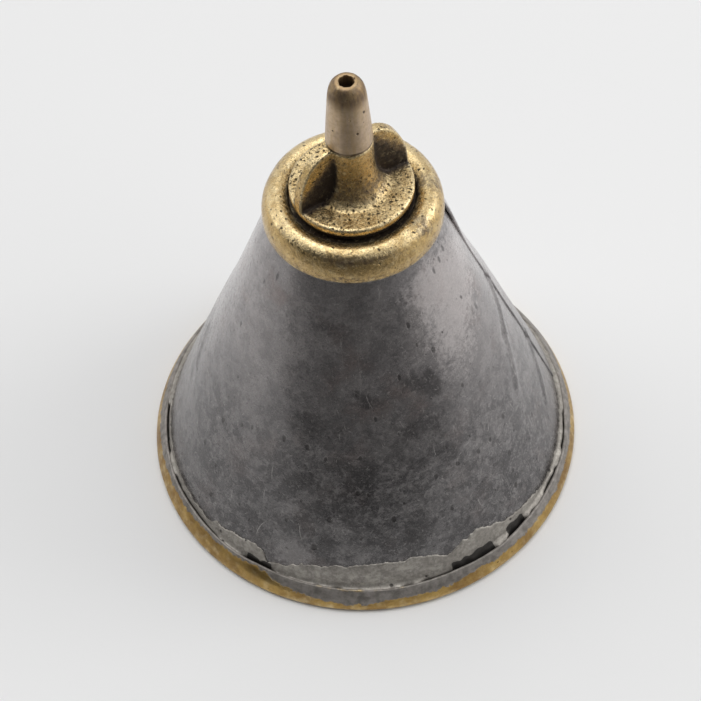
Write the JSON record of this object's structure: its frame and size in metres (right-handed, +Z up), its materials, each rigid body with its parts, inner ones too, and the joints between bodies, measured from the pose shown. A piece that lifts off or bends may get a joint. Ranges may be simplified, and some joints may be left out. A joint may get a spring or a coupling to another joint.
{
  "type": "push-bottom oil can",
  "caption": "Cone-shaped push-bottom oil can: a screw-in brass spout plug with finger lugs on top, and a springy base that the thumb presses to squeeze oil out.",
  "frame": {"origin": "centre of the foot ring's underside, on the surface that the can stands on", "axes": "+Z up along the cone's axis to the spout's tip; the open edge of the cone's lap seam is near +X, and -Y is the front"},
  "size_m": [0.1, 0.1, 0.1193],
  "materials": {
    "sheet_brass": "rolled brass sheet, tarnished brown, worn bright along its edges",
    "cast_brass": "cast brass, pitted, handled bright on the crest and dark in the hollows",
    "tube_brass": "dull greyish brass, rubbed smooth",
    "zinc_sheet": "dark grey zinc sheet, matt, mottled and scratched",
    "solder": "soft solder, dull grey, smeared by hand",
    "leather": "oil-soaked leather, nearly black"
  },
  "bodies": {
    "can": {"base_hoop": "sheet_brass", "foot_solder": "solder", "cone_body": "zinc_sheet", "spring_bottom": "sheet_brass", "bottom_solder": "solder", "collar": "cast_brass", "neck_solder": "solder"},
    "button": {"thumb_button": "sheet_brass"},
    "washer": {"sealing_washer": "leather"},
    "spout": {"spout_plug": "cast_brass", "spout_tube": "tube_brass"}
  },
  "joints": [
    {"name": "bottom_press", "type": "slide", "parent": "can", "child": "button", "axis": [0, 0, 1], "range_m": [0, 0.0026], "stiffness_N_per_m": 2500, "deforming": ["spring_bottom"]},
    {"name": "spout_rise", "type": "slide", "parent": "can", "child": "washer", "axis": [0, 0, 1], "range_m": [0, 0.0072]},
    {"name": "spout_turn", "type": "hinge", "parent": "washer", "child": "spout", "pos_m": [0, 0, 0.09], "axis": [0, 0, 1], "range_deg": [0, 1440]}
  ],
  "couplings": [
    {"joint": "spout_turn", "follows": "spout_rise", "rad_per_m": 3490.7}
  ]
}
